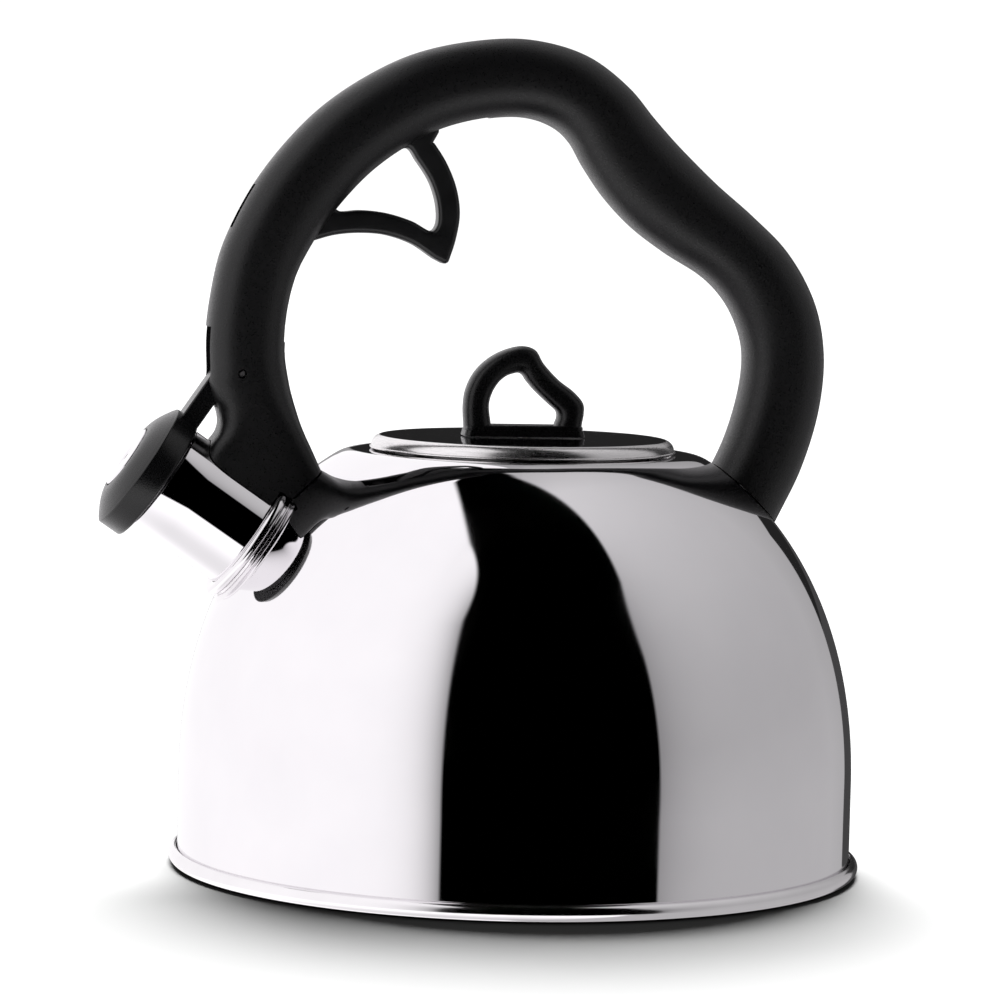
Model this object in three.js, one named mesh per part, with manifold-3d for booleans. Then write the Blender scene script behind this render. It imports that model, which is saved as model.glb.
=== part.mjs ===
// Stovetop whistling kettle, in millimetres, +Z up.
// The origin is the centre of the flat base, on the surface that the kettle stands on.
// The spout points along -X, and the handle lies in the XZ plane.
import * as THREE from 'three';
import { mergeVertices } from 'three/addons/utils/BufferGeometryUtils.js';
import Module from 'manifold-3d';

const wasm = await Module();
wasm.setup();

// ---- driving dimensions ----
const GAP = 0.3;                       // clearance between fitted neighbours
const WALL = 0.8;                      // sheet steel
const BODY_R = 102.2;                  // outside radius of the straight wall
const BEAD_R = 105;                    // outside radius of the rolled base seam
const BEAD_H = 5.4;                    // top of the seam
const ROLL_R = 2.4;                    // radius of the roll at the seam's outside
const BASE_FACE_R = 88;                // radius of the flat face that the kettle stands on
const SHOULDER_Z = 28.3;               // where the wall starts to curve in
const BROW = [58.9, 123.3];            // radius and height where the dome rolls over to the ledge
const LEDGE_R = 49;                    // flat ledge that the lid rests on
const LEDGE_Z = 126.6;
const NECK_R = 39.5;                   // inside radius of the filling hole
const NECK_DEPTH = 7;
const LID_R = 46.3;
const LID_TOP = 130.9;
const SPOUT_TILT = THREE.MathUtils.degToRad(34.5);
const SPOUT_ROOT = [-84.5, 100.8];     // X and Z of the point that spout lengths start from
const SPOUT_R = 16.9;
const SPOUT_LENGTH = 29.5;
const RING_R = 20.6;                   // outside radius of the ring at the spout's root
const RING_AT = -2.0;                  // the ring's middle, along the spout
const RING_HALF = 1.6;
const COLLAR_R = 19.4;                 // outside radius of the collar drawn up from the dome
const CAP_R = 20.4;
const CAP_FACE = 30.2;                 // the cap's inner face, along the spout
const CAP_RIM = 37.6;                  // where the cap's side wall ends and its crown starts
const CAP_TOP = 42;
const CAP_DROP = 1.3;                  // the cap sits this much below the spout's axis
const WHISTLE_R = 14.3;                // outside radius of the whistle's can
const ARM_HALF = 5.5;                  // half the width of the cap's arm
const ARM_TOP = 36.2;                  // the arm's outer face, along the spout
const CAP_PIVOT = [-86.9, 149.3];
const TRIGGER_PIVOT = [-77.5, 192];
const TRIGGER_TRAVEL = THREE.MathUtils.degToRad(16);
const PEG_REACH = 32.3;                // trigger pivot to driving peg
const PEG_R = 1.7;
const HANDLE_WIDTH = 25;
const HANDLE_ROUND = 10.5;             // radius that rounds the handle's section
const CHANNEL_HALF = 4.5;              // half the width of the slot under the handle
const CHANNEL_WALL = 4;                // handle wall left outside that slot
const POCKET_HALF = 6;                 // half the width of the pocket for the cap's arm
const TRIGGER_HALF = 4;                // half the thickness of the trigger
const PIN_R = 1.2;
const BODY_SEGMENTS = 48;
const SPOUT_SEGMENTS = 36;

// ---- materials ----
const steel = (roughness) => new THREE.MeshStandardMaterial({ color: 0xd9d9dc, roughness, metalness: 1 });
const plastic = (roughness) => new THREE.MeshStandardMaterial({ color: 0x1b1b1d, roughness, metalness: 0 });

// ---- shaping helpers ----
function toSolid(geometry) {
  const bare = geometry.index ? geometry.toNonIndexed() : geometry.clone();
  bare.deleteAttribute('normal');
  bare.deleteAttribute('uv');
  const welded = mergeVertices(bare, 1e-4);
  const vertProperties = Float32Array.from(welded.attributes.position.array);
  const corners = [];
  for (let i = 0; i < welded.index.count; i += 3) {
    const [a, b, c] = [0, 1, 2].map((k) => welded.index.getX(i + k));
    if (a !== b && b !== c && c !== a) corners.push(a, b, c);
  }
  if (signedVolume(vertProperties, corners) < 0) corners.reverse();
  const triVerts = Uint32Array.from(corners);
  return new wasm.Manifold(new wasm.Mesh({ numProp: 3, vertProperties, triVerts }));
}

function signedVolume(points, corners) {
  const at = (k) => new THREE.Vector3().fromArray(points, 3 * corners[k]);
  let sum = 0;
  for (let k = 0; k < corners.length; k += 3) sum += at(k).dot(at(k + 1).cross(at(k + 2)));
  return sum / 6;
}

function toMesh(name, solid, material) {
  const { vertProperties, triVerts } = solid.getMesh();
  const geometry = new THREE.BufferGeometry();
  geometry.setAttribute('position', new THREE.BufferAttribute(Float32Array.from(vertProperties), 3));
  geometry.setIndex(new THREE.BufferAttribute(Uint32Array.from(triVerts), 1));
  geometry.computeVertexNormals();
  const mesh = new THREE.Mesh(geometry, material);
  mesh.name = name;
  return mesh;
}

// A solid of revolution about Z from a closed profile of [radius, height] points.
function turned(profile, segments) {
  const onAxis = profile[0][0] === 0;
  const points = profile.map(([r, z]) => new THREE.Vector2(r, z));
  if (!onAxis) points.push(points[0].clone());
  return toSolid(new THREE.LatheGeometry(points, segments).rotateX(Math.PI / 2));
}

// A plate drawn in the XZ plane and centred on Y = middle, with its edges rounded by bevel.
function plate(shape, thickness, { bevel = 0, segments = 3, curveSegments = 8, middle = 0 } = {}) {
  const geometry = new THREE.ExtrudeGeometry(shape, {
    depth: thickness - 2 * bevel,
    curveSegments,
    bevelEnabled: bevel > 0,
    bevelThickness: bevel,
    bevelSize: bevel,
    bevelOffset: 0,
    bevelSegments: segments,
  });
  geometry.rotateX(Math.PI / 2);
  return toSolid(geometry.translate(0, middle + thickness / 2 - bevel, 0));
}

function polygon(points) {
  return new THREE.Shape(points.map(([x, z]) => new THREE.Vector2(x, z)));
}

// A closed outline through the given points: a smooth curve with this many steps.
function smoothOutline(points, steps) {
  const curve = new THREE.SplineCurve(points.map(([x, z]) => new THREE.Vector2(x, z)));
  return curve.getPoints(steps).map((p) => [p.x, p.y]);
}

// A cylinder along Y at an [x, z] centre.
function crossRod([x, z], radius, y0, y1, segments = 16) {
  const geometry = new THREE.CylinderGeometry(radius, radius, y1 - y0, segments);
  return toSolid(geometry.translate(x, (y0 + y1) / 2, z));
}

// Turns a solid made about Z at the origin onto the spout's axis.
const spoutFrame = new THREE.Matrix4()
  .makeTranslation(SPOUT_ROOT[0], 0, SPOUT_ROOT[1])
  .multiply(new THREE.Matrix4().makeRotationY(SPOUT_TILT - Math.PI / 2));
const capFrame = spoutFrame.clone().multiply(new THREE.Matrix4().makeTranslation(-CAP_DROP, 0, 0));
const placed = (solid, frame) => solid.transform(frame.elements);

// A point of the spout's side view, from lengths along and above its axis.
function beside(along, above) {
  const p = new THREE.Vector3(above, 0, along).applyMatrix4(spoutFrame);
  return [p.x, p.z];
}

// ---- body ----
// The dome's side, from the straight wall up to the brow, and the brow that rolls over to the ledge.
const domeSide = new THREE.CubicBezierCurve(
  new THREE.Vector2(BODY_R, SHOULDER_Z),
  new THREE.Vector2(BODY_R, 78),
  new THREE.Vector2(80.5, 108.9),
  new THREE.Vector2(...BROW),
);
const domeBrow = new THREE.CubicBezierCurve(
  new THREE.Vector2(...BROW),
  new THREE.Vector2(55.5, 125.6),
  new THREE.Vector2(53.8, LEDGE_Z),
  new THREE.Vector2(LEDGE_R, LEDGE_Z),
);

// The dome's points, moved out along their normals by offset.
function domePoints(offset, sideSteps, browSteps) {
  const points = [];
  const follow = (curve, first, steps) => {
    for (let i = first; i <= steps; i += 1) {
      const p = curve.getPoint(i / steps);
      const t = curve.getTangent(i / steps);
      points.push([p.x + offset * t.y, p.y - offset * t.x]);
    }
  };
  follow(domeSide, 0, sideSteps);
  follow(domeBrow, 1, browSteps);
  return points;
}

function bodyShell() {
  const outside = [[BODY_R, 2.2], ...domePoints(0, 10, 3)];
  const inside = [[BODY_R - WALL, 2.2], ...domePoints(-WALL, 10, 2)].reverse();
  const neck = [
    [NECK_R + WALL + 1, LEDGE_Z],
    [NECK_R, LEDGE_Z - 1],
    [NECK_R, LEDGE_Z - NECK_DEPTH],
    [NECK_R + WALL, LEDGE_Z - NECK_DEPTH],
    [NECK_R + WALL, LEDGE_Z - 1.3],
    [NECK_R + 2 * WALL, LEDGE_Z - WALL],
  ];
  let shell = turned([...outside, ...neck, ...inside], BODY_SEGMENTS);
  shell = shell.add(spoutCollar()).subtract(spoutRod(SPOUT_R + GAP, -20, 10));
  for (const [foot, side] of screwPlaces) shell = shell.subtract(screwRod(foot, side, 2.3, -4, 4, 12));
  return shell;
}

// The short collar drawn up from the dome round the spout, for the ring to seat on.
function spoutCollar() {
  const root = -16;
  return spoutRod(COLLAR_R, root, RING_AT - RING_HALF - GAP)
    .subtract(domeBlank(-WALL / 2));
}

// A filled dome, grown by an offset: what fits against the dome is hollowed by it.
function domeBlank(offset) {
  const r = BODY_R + offset;
  return turned([[0, 0], [r, 0], ...domePoints(offset, 10, 3), [0, LEDGE_Z + offset]], BODY_SEGMENTS);
}

// ---- base pan with the rolled seam that grips the body's lower edge ----
function basePan() {
  const roll = [];
  const rollSteps = 5;
  for (let i = 0; i <= rollSteps; i += 1) {
    const a = -Math.PI / 2 + (i / rollSteps) * Math.PI;
    roll.push([BEAD_R - ROLL_R + ROLL_R * Math.cos(a), BEAD_H - ROLL_R * (1 - Math.sin(a))]);
  }
  return turned([
    [0, 0],
    [BASE_FACE_R, 0],
    [BASE_FACE_R + 2, 0.7],
    [BODY_R - 1.7, 0.7],
    ...roll,
    [BODY_R + GAP, BEAD_H],
    [BODY_R + GAP, 1.8],
    [BODY_R - WALL - GAP, 1.8],
    [BODY_R - WALL - GAP, 6],
    [BODY_R - 2 * WALL - GAP, 6],
    [BODY_R - 2 * WALL - GAP, 1.5],
    [BASE_FACE_R + 1.5, 1.5],
    [BASE_FACE_R - 0.5, WALL],
    [0, WALL],
  ], BODY_SEGMENTS);
}

// ---- spout ----
function spoutRod(radius, from, to) {
  const rod = new THREE.CylinderGeometry(radius, radius, to - from, SPOUT_SEGMENTS).rotateX(Math.PI / 2);
  return placed(toSolid(rod.translate(0, 0, (from + to) / 2)), spoutFrame);
}

function spoutTube() {
  const profile = [
    [SPOUT_R - WALL, -6],
    [SPOUT_R, -6],
    [SPOUT_R, SPOUT_LENGTH - 0.6],
    [SPOUT_R - 0.3, SPOUT_LENGTH],
    [SPOUT_R - WALL, SPOUT_LENGTH],
  ];
  return placed(turned(profile, SPOUT_SEGMENTS), spoutFrame);
}

function spoutRing() {
  const inner = SPOUT_R + GAP;
  const middle = (RING_R + inner) / 2;
  const profile = [];
  const sides = 8;
  for (let i = 0; i < sides; i += 1) {
    const a = (i / sides) * 2 * Math.PI;
    profile.push([middle + (RING_R - middle) * Math.cos(a), RING_AT + RING_HALF * Math.sin(a)]);
  }
  return placed(turned(profile, SPOUT_SEGMENTS), spoutFrame).subtract(domeBlank(GAP));
}

// ---- lid ----
function lidDisc() {
  const shoulder = [];
  const steps = 3;
  for (let i = 0; i <= steps; i += 1) {
    const a = (i / steps) * (Math.PI / 2);
    shoulder.push([LID_R - 4 + 3.6 * Math.cos(a), LID_TOP - 3.2 + 3.2 * Math.sin(a)]);
  }
  const low = LEDGE_Z + 0.4;
  let disc = turned([
    [0, LID_TOP - WALL],
    [LID_R - 4.2, LID_TOP - WALL],
    [LID_R - 0.4 - WALL, LID_TOP - 3.6],
    [LID_R - 0.4 - WALL, low],
    [LID_R, low],
    [LID_R, low + 0.5],
    ...shoulder,
    [0, LID_TOP],
  ], BODY_SEGMENTS);
  const hole = new THREE.CylinderGeometry(2.5, 2.5, 8, 16).rotateX(Math.PI / 2);
  disc = disc.subtract(toSolid(hole.translate(0, 0, LID_TOP)));
  return disc;
}

// The skirt is a short ring with a flange, spot-welded under the lid. It pushes into the neck.
function lidSkirt() {
  const top = LID_TOP - WALL - GAP;
  const r = NECK_R - 1;
  return turned([
    [r - 4, top - WALL],
    [r - WALL, top - WALL],
    [r - WALL, LEDGE_Z - 9],
    [r, LEDGE_Z - 9.5],
    [r, top],
    [r - 4, top],
  ], 40);
}

// The knob is a loop whose outline echoes the big handle.
function lidKnob() {
  const inset = 2.6;
  const outer = smoothOutline([
    [15.2, 134.2], [16, 139], [14.6, 141.7], [9.2, 145.5], [4.4, 150.4], [2.2, 153.8], [-0.2, 155.4],
    [-5.3, 154.7], [-9, 152.8], [-12.7, 149.5], [-15.6, 143.6], [-15.9, 139.6], [-15.3, 134.2],
  ], 34);
  const loop = polygon(outer);
  const eye = smoothOutline([
    [10.4, 134.6], [11.4, 137.6], [6.3, 142.5], [2.0, 147.1], [-0.9, 150.4], [-5.6, 149.7],
    [-8.9, 146.6], [-11.1, 143.2], [-11.6, 138.9], [-10.4, 134.6],
  ], 22);
  const hole = plate(polygon(eye), 30);
  const foot = polygon([[-16.5, LID_TOP + GAP], [-17.2, 136], [16.9, 136], [16, LID_TOP + GAP]]);
  return plate(loop, 10, { bevel: inset, segments: 3 })
    .subtract(plate(polygon([[-30, 110], [-30, 134.5], [30, 134.5], [30, 110]]), 30))
    .add(plate(foot, 10.5))
    .subtract(hole)
    .subtract(upright(0, 0, 1.7, LID_TOP - 1, LID_TOP + 3.2, 12));
}

function upright(x, y, radius, z0, z1, segments) {
  const rod = new THREE.CylinderGeometry(radius, radius, z1 - z0, segments).rotateX(Math.PI / 2);
  return toSolid(rod.translate(x, y, (z0 + z1) / 2));
}

function knobScrew() {
  const seat = LID_TOP - WALL - GAP - 1 - GAP;
  return turned([
    [0, seat - 2],
    [2.6, seat - 2],
    [3.4, seat - 0.8],
    [3.4, seat],
    [1.4, seat],
    [1.4, LID_TOP + 2.8],
    [0, LID_TOP + 2.8],
  ], 16);
}

function knobWasher() {
  const top = LID_TOP - WALL - GAP;
  return turned([[1.8, top - 1], [6, top - 1], [6, top], [1.8, top]], 20);
}

// ---- handle ----
// Stations along the handle's middle line, from the rear foot over the top to the front leg:
// X, Z and the handle's thickness there.
const stations = [
  [58, 94, 25], [68.8, 114.7, 24.8], [74.5, 127.1, 24.9], [78.9, 143, 24.9], [79.9, 157, 24.6],
  [77.3, 169, 24.6], [70.5, 180.9, 24.1], [61.2, 189.9, 23.9], [49.9, 197.9, 26], [40.6, 205.4, 27.4],
  [33.3, 212.7, 27.2], [27.2, 220.2, 26], [21, 228.4, 24.4], [11.4, 235.5, 23.8],
  [-2, 239, 23.6], [-17.1, 237.9, 23.6], [-31.8, 234.1, 24], [-44.2, 227.8, 24.2],
  [-55.3, 219.8, 24.4], [-63.9, 211.1, 24.4], [-71.7, 201, 24.3], [-77.2, 191.5, 24.1],
  [-81.5, 181.5, 23.9], [-84, 170, 23.6], [-85, 159, 23.8], [-84.7, 150, 24.1],
  [-83.1, 142, 23.9],
];
const stationPoints = stations.map(([x, z]) => new THREE.Vector3(x, z, 0));
const middleLine = new THREE.CatmullRomCurve3(stationPoints, false, 'centripetal');
const stationAt = (k) => k / (stations.length - 1);

// The handle's thickness at parameter t of the middle line.
function thicknessAt(t) {
  const f = t * (stations.length - 1);
  const i = Math.min(Math.floor(f), stations.length - 2);
  return THREE.MathUtils.lerp(stations[i][2], stations[i + 1][2], f - i);
}

// A point at a distance from the middle line: positive is the outer side of the arch.
function offLine(t, distance) {
  const p = middleLine.getPoint(t);
  const d = middleLine.getTangent(t);
  return [p.x + d.y * distance, p.y - d.x * distance];
}

function handleOutline() {
  const steps = 52;
  const outer = [];
  const inner = [];
  for (let i = 0; i <= steps; i += 1) {
    const t = i / steps;
    const half = thicknessAt(t) / 2 - HANDLE_ROUND;
    outer.push(offLine(t, half));
    inner.push(offLine(t, -half));
  }
  const frontFoot = [
    [-82.3, 137], [-81.7, 133.8], [-83.8, 129.5], [-86.4, 122], [-86.5, 114], [-82, 104], [-64, 104],
    [-72.1, 117], [-76.3, 126.4], [-79.4, 135],
  ];
  return polygon([...outer, ...frontFoot, ...inner.reverse()]);
}

// The slot under the handle, in which the trigger and the cap's arm are hung.
function channel() {
  const first = stationAt(14.75);
  const last = stationAt(24.4);
  const steps = 20;
  const deep = [];
  const open = [];
  for (let i = 0; i <= steps; i += 1) {
    const t = THREE.MathUtils.lerp(first, last, i / steps);
    deep.push(offLine(t, thicknessAt(t) / 2 - CHANNEL_WALL));
    open.push(offLine(t, -thicknessAt(t) / 2 - 2));
  }
  return plate(polygon([...deep, ...open.reverse()]), 2 * CHANNEL_HALF);
}

// The pocket in the front leg: the cap's arm swings in it and comes out of it.
function armPocket() {
  const outline = [
    [-104, 133], [-93.6, 138.9], [-89.6, 141.6], [-85.6, 141], [-79.5, 142.5], [-77.6, 148],
    [-76.4, 156], [-76.4, 170], [-91, 170], [-93, 163], [-104, 163],
  ];
  return plate(polygon(outline), 2 * POCKET_HALF);
}

function upperSlot() {
  const t0 = stationAt(20.15);
  const t1 = stationAt(21.7);
  const outline = [offLine(t0, 5), offLine(t0, 16), offLine(t1, 16), offLine(t1, 5)];
  return plate(polygon(outline), 6);
}

function handleBody() {
  let body = plate(handleOutline(), HANDLE_WIDTH, { bevel: HANDLE_ROUND, segments: 4 });
  body = body
    .subtract(domeBlank(GAP))
    .subtract(spoutRod(SPOUT_R + GAP, -14, 45))
    .subtract(spoutRod(RING_R + GAP, -14, RING_AT + RING_HALF + GAP))
    .subtract(channel())
    .subtract(armPocket())
    .subtract(upperSlot())
    .subtract(crossRod(CAP_PIVOT, PIN_R + 0.15, -14, 14))
    .subtract(crossRod(TRIGGER_PIVOT, PIN_R + 0.15, -9.5, 14));
  for (const [foot, side] of screwPlaces) body = body.subtract(screwRod(foot, side, 1.9, -1, 13, 12));
  return largestPiece(body);
}

// The biggest body of a solid that a cut has left in pieces.
function largestPiece(solid) {
  const pieces = solid.decompose();
  return pieces.reduce((best, piece) => (piece.volume() > best.volume() ? piece : best));
}

// ---- foot screws: driven from inside the dome, two into each foot ----
const FOOT_PARAMETER = { front: 0.88, rear: 0.87 };       // where on the dome's side curve
const SCREW_OFFSET = 7;
const screwPlaces = [['front', -1], ['front', 1], ['rear', -1], ['rear', 1]];

// A frame on the dome's outer surface at a screw: its Z axis points straight out.
function screwFrame(foot, side) {
  const p = domeSide.getPoint(FOOT_PARAMETER[foot]);
  const t = domeSide.getTangent(FOOT_PARAMETER[foot]);
  const sign = foot === 'front' ? -1 : 1;
  const out = new THREE.Vector3(sign * t.y, 0, -t.x);
  const turn = new THREE.Quaternion().setFromUnitVectors(new THREE.Vector3(0, 0, 1), out);
  const sag = p.x - Math.sqrt(p.x ** 2 - SCREW_OFFSET ** 2);
  const place = new THREE.Vector3(sign * (p.x - sag / 2), side * SCREW_OFFSET, p.y - sag / 2);
  return new THREE.Matrix4().compose(place, turn, new THREE.Vector3(1, 1, 1));
}

function screwRod(foot, side, radius, from, to, segments) {
  const rod = new THREE.CylinderGeometry(radius, radius, to - from, segments).rotateX(Math.PI / 2);
  return placed(toSolid(rod.translate(0, 0, (from + to) / 2)), screwFrame(foot, side));
}

function footScrew(foot, side) {
  const seat = -WALL - 2.1;
  const profile = [
    [0, seat - 2.4], [3, seat - 2.4], [3.8, seat - 1.2], [3.8, seat], [1.6, seat], [1.6, 11], [0, 12.2],
  ];
  return placed(turned(profile, 14), screwFrame(foot, side));
}

function footWasher(foot, side) {
  const top = -WALL - 0.8;
  const profile = [[2, top - 1], [5, top - 1], [5, top], [2, top]];
  return placed(turned(profile, 18), screwFrame(foot, side));
}

// ---- trigger ----
// Where the driving peg stands at rest: half the travel to the left of the line of pivots.
const pivotLine = Math.atan2(CAP_PIVOT[1] - TRIGGER_PIVOT[1], CAP_PIVOT[0] - TRIGGER_PIVOT[0]);
const pegAngle = pivotLine - TRIGGER_TRAVEL / 2;
const PEG = [
  TRIGGER_PIVOT[0] + PEG_REACH * Math.cos(pegAngle),
  TRIGGER_PIVOT[1] + PEG_REACH * Math.sin(pegAngle),
];

// A flat bar with round ends between two [x, z] points.
function bar(from, to, radius, thickness, middle) {
  const [dx, dz] = [to[0] - from[0], to[1] - from[1]];
  const angle = Math.atan2(dz, dx);
  const shape = new THREE.Shape();
  shape.absarc(from[0], from[1], radius, angle + Math.PI / 2, angle + 1.5 * Math.PI, false);
  shape.absarc(to[0], to[1], radius, angle - Math.PI / 2, angle + Math.PI / 2, false);
  return plate(shape, thickness, { middle, curveSegments: 7 });
}

function trigger() {
  const fin = smoothOutline([
    [-31.3, 219], [-27.1, 212.8], [-23.9, 205.4], [-22.7, 197.9], [-23.8, 190.3], [-25.6, 184.4],
  ], 12);
  const underside = smoothOutline([
    [-28, 185.6], [-35, 190], [-43.5, 192.6], [-51.8, 193.1], [-59.4, 192.3], [-66, 190.4],
  ], 12);
  const base = [
    [-72, 188.5], [-74, 196], [-68, 203], [-61.5, 206.5], [-55.5, 211.8], [-46, 218.4], [-31.2, 223.6],
  ];
  const eye = smoothOutline([
    [-37.6, 217.2], [-34.6, 213.6], [-30.2, 206.9], [-28, 199.6], [-28.1, 194.4], [-29.6, 192.6],
    [-35.8, 195.5], [-43.9, 197.8], [-51.3, 198.4], [-57.6, 198.0], [-58.8, 199],
    [-52.1, 206.5], [-45.4, 212.7], [-37.6, 217.2],
  ], 40).slice(0, -1);
  const outline = polygon([...fin, ...underside, ...base]);
  const loop = plate(outline, 2 * TRIGGER_HALF, { bevel: 1.5, segments: 2 });
  const shank = TRIGGER_HALF - 0.2;
  return loop
    .subtract(plate(polygon(eye), 20))
    .add(crossRod(TRIGGER_PIVOT, 5, -TRIGGER_HALF, TRIGGER_HALF, 20))
    .add(bar(TRIGGER_PIVOT, [-66, 193.5], 3, 2 * TRIGGER_HALF, 0))
    .add(bar(TRIGGER_PIVOT, PEG, 3, shank, -TRIGGER_HALF + shank / 2))
    .add(crossRod(PEG, PEG_R, -TRIGGER_HALF + 1, TRIGGER_HALF, 14))
    .subtract(crossRod(TRIGGER_PIVOT, PIN_R + GAP, -14, 14));
}

function pin([x, z], y0, y1) {
  const rod = turned([
    [0, y0], [PIN_R - 0.4, y0], [PIN_R, y0 + 0.5], [PIN_R, y1 - 0.5], [PIN_R - 0.4, y1], [0, y1],
  ], 14);
  const frame = new THREE.Matrix4().makeTranslation(x, 0, z);
  return placed(rod, frame.multiply(new THREE.Matrix4().makeRotationX(-Math.PI / 2)));
}

// ---- cap lever: the arm, its hub and fork, and the round cap in one moulding ----
const capCentre = -CAP_DROP;

function capLever() {
  const crown = [];
  for (let i = 0; i <= 4; i += 1) {
    const a = i / 4;
    const radius = THREE.MathUtils.lerp(CAP_R - 0.3, 10.6, a);
    crown.push([radius, CAP_RIM + 0.3 + (CAP_TOP - CAP_RIM - 0.3) * Math.sin((a * Math.PI) / 2.15)]);
  }
  const cap = placed(turned([
    [WHISTLE_R + GAP, CAP_FACE],
    [CAP_R - 1, CAP_FACE],
    [CAP_R, CAP_FACE + 1],
    [CAP_R, CAP_RIM],
    ...crown,
    [10.3, CAP_TOP - 1.5],
    [8, CAP_TOP - 1.5],
    [8, CAP_TOP - 3.3],
    [WHISTLE_R + GAP, CAP_TOP - 3.3],
  ], 40), capFrame);
  const arm = plate(polygon([
    beside(CAP_FACE, CAP_R - 4 + capCentre),
    beside(ARM_TOP, CAP_R - 4 + capCentre),
    beside(ARM_TOP, 36),
    beside(ARM_TOP - 3, 40.5),
    beside(CAP_FACE, 40.5),
  ]), 2 * ARM_HALF);
  const hub = crossRod(CAP_PIVOT, 5, -1.2, ARM_HALF, 20)
    .add(crossRod(CAP_PIVOT, 2.6, -ARM_HALF, 0, 16));
  const thick = TRIGGER_HALF - 0.2;
  const reach = Math.hypot(PEG[0] - CAP_PIVOT[0], PEG[1] - CAP_PIVOT[1]);
  const toTip = (length) => [0, 1].map((k) => CAP_PIVOT[k] + ((PEG[k] - CAP_PIVOT[k]) * length) / reach);
  const fork = bar(CAP_PIVOT, toTip(13), 4.1, thick, 0.2 + thick / 2)
    .subtract(bar(toTip(reach - 1.4), toTip(24), PEG_R + 0.45, 12, 2));
  const room = crossRod(CAP_PIVOT, 4.9, -ARM_HALF - 1, -1.2, 20);
  return arm
    .subtract(room)
    .add(hub)
    .add(fork)
    .add(cap)
    .subtract(crossRod(CAP_PIVOT, PIN_R + GAP, -14, 14));
}

// ---- whistle: a steel can with two plates pierced on its axis ----
function whistleCan() {
  const front = CAP_TOP - 3.3 - GAP;
  return placed(turned([
    [1.6, front - 0.6],
    [WHISTLE_R - 0.6, front - 0.6],
    [WHISTLE_R - 0.6, CAP_FACE - 3],
    [WHISTLE_R, CAP_FACE - 3],
    [WHISTLE_R, front],
    [1.6, front],
  ], 36), capFrame);
}

function whistlePlate() {
  const at = CAP_FACE + 2.6;
  const r = WHISTLE_R - 0.6 - GAP;
  return placed(turned([[1.6, at], [r, at], [r, at + 0.6], [1.6, at + 0.6]], 32), capFrame);
}

// The round insert in the middle of the cap's crown, with the hole that the steam blows out of.
function capInsert() {
  return placed(turned([
    [2.6, CAP_TOP - 1.2],
    [9.9, CAP_TOP - 1.2],
    [9.9, CAP_TOP + 0.4],
    [9.2, CAP_TOP + 0.4],
    [8.8, CAP_TOP],
    [2.6, CAP_TOP],
  ], 36), capFrame);
}

// ---- return spring: a torsion spring round the hub, closing the cap ----
class SpringLine extends THREE.Curve {
  getPoint(t, target = new THREE.Vector3()) {
    const turns = 3.5;
    const a = -0.6 + turns * 2 * Math.PI * t;
    const r = 3.5;
    return target.set(CAP_PIVOT[0] + r * Math.cos(a), -5 + 3.2 * t, CAP_PIVOT[1] + r * Math.sin(a));
  }
}

function returnSpring() {
  const wire = new THREE.Shape().absarc(0, 0, 0.35, 0, 2 * Math.PI, false);
  return toSolid(new THREE.ExtrudeGeometry(wire, {
    steps: 42,
    curveSegments: 3,
    bevelEnabled: false,
    extrudePath: new SpringLine(),
  }));
}

// ---- assembly ----
const kettle = new THREE.Group();
const lid = new THREE.Group();
const lever = new THREE.Group();
kettle.add(
  toMesh('body_shell', bodyShell(), steel(0.06)),
  toMesh('base_pan', basePan(), steel(0.1)),
  toMesh('spout_tube', spoutTube(), steel(0.08)),
  toMesh('spout_ring', spoutRing(), steel(0.08)),
  toMesh('handle_body', handleBody(), plastic(0.55)),
  toMesh('trigger', trigger(), plastic(0.45)),
  toMesh('trigger_pin', pin(TRIGGER_PIVOT, -9, 11), steel(0.3)),
  toMesh('cap_pin', pin(CAP_PIVOT, -11.2, 11.2), steel(0.3)),
  toMesh('return_spring', returnSpring(), steel(0.3)),
);
lid.add(
  toMesh('lid_disc', lidDisc(), steel(0.06)),
  toMesh('lid_skirt', lidSkirt(), steel(0.2)),
  toMesh('lid_knob', lidKnob(), plastic(0.45)),
  toMesh('knob_screw', knobScrew(), steel(0.3)),
  toMesh('knob_washer', knobWasher(), steel(0.3)),
);
lever.add(
  toMesh('cap_lever', capLever(), plastic(0.5)),
  toMesh('whistle_can', whistleCan(), steel(0.2)),
  toMesh('whistle_plate', whistlePlate(), steel(0.2)),
  toMesh('cap_insert', capInsert(), steel(0.2)),
);
for (const [foot, side] of screwPlaces) {
  const hand = side < 0 ? 'left' : 'right';
  kettle.add(toMesh(`${foot}_screw_${hand}`, footScrew(foot, side), steel(0.3)));
  kettle.add(toMesh(`${foot}_washer_${hand}`, footWasher(foot, side), steel(0.3)));
}
kettle.add(lid, lever);

export default kettle;
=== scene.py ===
import math

import bmesh
import bpy
import numpy as np
from mathutils import Matrix, Vector


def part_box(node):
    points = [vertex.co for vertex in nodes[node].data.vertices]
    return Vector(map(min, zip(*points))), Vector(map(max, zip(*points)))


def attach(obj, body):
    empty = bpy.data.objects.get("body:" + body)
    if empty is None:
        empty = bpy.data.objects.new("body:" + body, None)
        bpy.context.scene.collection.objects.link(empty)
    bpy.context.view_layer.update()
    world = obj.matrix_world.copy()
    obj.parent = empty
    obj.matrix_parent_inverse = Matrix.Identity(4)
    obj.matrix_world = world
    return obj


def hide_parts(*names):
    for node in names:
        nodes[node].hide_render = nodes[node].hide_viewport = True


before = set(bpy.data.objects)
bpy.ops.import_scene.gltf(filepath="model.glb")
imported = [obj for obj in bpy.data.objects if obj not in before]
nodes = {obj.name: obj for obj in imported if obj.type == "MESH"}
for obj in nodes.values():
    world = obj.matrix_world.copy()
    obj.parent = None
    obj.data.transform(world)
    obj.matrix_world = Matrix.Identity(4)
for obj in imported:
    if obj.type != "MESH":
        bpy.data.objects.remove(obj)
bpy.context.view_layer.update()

MM = 0.001


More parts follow.
